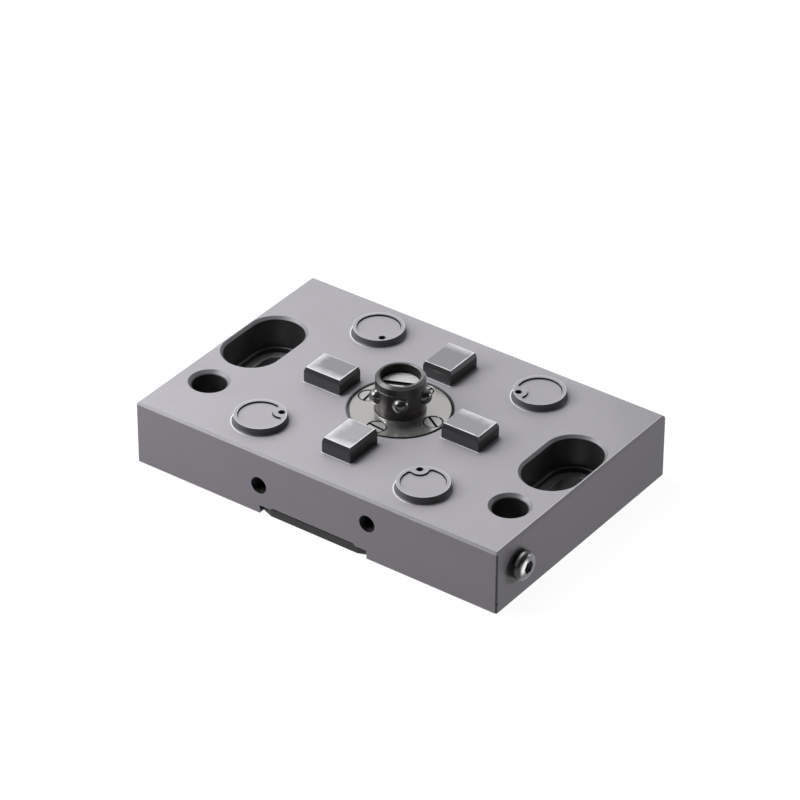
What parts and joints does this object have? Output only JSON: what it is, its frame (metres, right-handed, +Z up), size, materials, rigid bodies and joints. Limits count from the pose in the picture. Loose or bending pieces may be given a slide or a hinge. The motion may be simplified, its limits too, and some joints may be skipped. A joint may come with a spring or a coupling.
{
  "type": "pneumatic edm chuck",
  "caption": "Pneumatic chuck plate of ground steel with a ball lock clamping nose, tapered centring prongs, height pads with air holes and oblong clamping pockets",
  "frame": {"origin": "the centre of the flat underside that rests on the machine table", "axes": "+Z up, along the nose; +X along the plate's long side; the air ports are in the -Y face"},
  "size_m": [0.2154, 0.14, 0.0532],
  "materials": {
    "ground_steel": "ground satin",
    "prong_steel": "ground, worn bright on the edges",
    "nose_steel": "turned, hardened",
    "ball_steel": "polished",
    "bolt_steel": "turned",
    "spring_steel": "oiled",
    "bright_screws": "plain",
    "black_screws": "black oxide",
    "cover_black": "black, satin",
    "seal_rubber": "matt"
  },
  "bodies": {
    "chuck": {"base_plate": "ground_steel", "centring_prong_1": "prong_steel", "centring_prong_2": "prong_steel", "centring_prong_3": "prong_steel", "centring_prong_4": "prong_steel", "prong_screws": "black_screws", "clamping_nose": "nose_steel", "nose_screws": "bright_screws", "nose_flange_seal": "seal_rubber", "rod_seal": "seal_rubber", "bottom_cover": "cover_black", "cover_gasket": "seal_rubber", "cover_screws": "black_screws", "side_plug": "bright_screws", "side_plug_seal": "seal_rubber", "duct_plugs": "black_screws", "disc_springs": "spring_steel"},
    "piston": {"piston": "bolt_steel", "locking_bolt": "bolt_steel", "piston_seal": "seal_rubber"},
    "ball_1": {"lock_ball_1": "ball_steel"},
    "ball_2": {"lock_ball_2": "ball_steel"},
    "ball_3": {"lock_ball_3": "ball_steel"},
    "ball_4": {"lock_ball_4": "ball_steel"},
    "ball_5": {"lock_ball_5": "ball_steel"}
  },
  "joints": [
    {"name": "piston_slide", "type": "slide", "parent": "chuck", "child": "piston", "axis": [0, 0, 1], "range_m": [0, 0.0035], "stiffness_N_per_m": 8000, "springref_m": -0.003, "deforming": ["disc_springs"]},
    {"name": "ball_1_slide", "type": "slide", "parent": "chuck", "child": "ball_1", "axis": [0.9511, 0.309, 0], "range_m": [-0.0035, 0]},
    {"name": "ball_2_slide", "type": "slide", "parent": "chuck", "child": "ball_2", "axis": [0, 1, 0], "range_m": [-0.0035, 0]},
    {"name": "ball_3_slide", "type": "slide", "parent": "chuck", "child": "ball_3", "axis": [-0.9511, 0.309, 0], "range_m": [-0.0035, 0]},
    {"name": "ball_4_slide", "type": "slide", "parent": "chuck", "child": "ball_4", "axis": [-0.5878, -0.809, 0], "range_m": [-0.0035, 0]},
    {"name": "ball_5_slide", "type": "slide", "parent": "chuck", "child": "ball_5", "axis": [0.5878, -0.809, 0], "range_m": [-0.0035, 0]}
  ],
  "couplings": [
    {"joint": "ball_1_slide", "follows": "piston_slide", "ratio": -1},
    {"joint": "ball_2_slide", "follows": "piston_slide", "ratio": -1},
    {"joint": "ball_3_slide", "follows": "piston_slide", "ratio": -1},
    {"joint": "ball_4_slide", "follows": "piston_slide", "ratio": -1},
    {"joint": "ball_5_slide", "follows": "piston_slide", "ratio": -1}
  ]
}
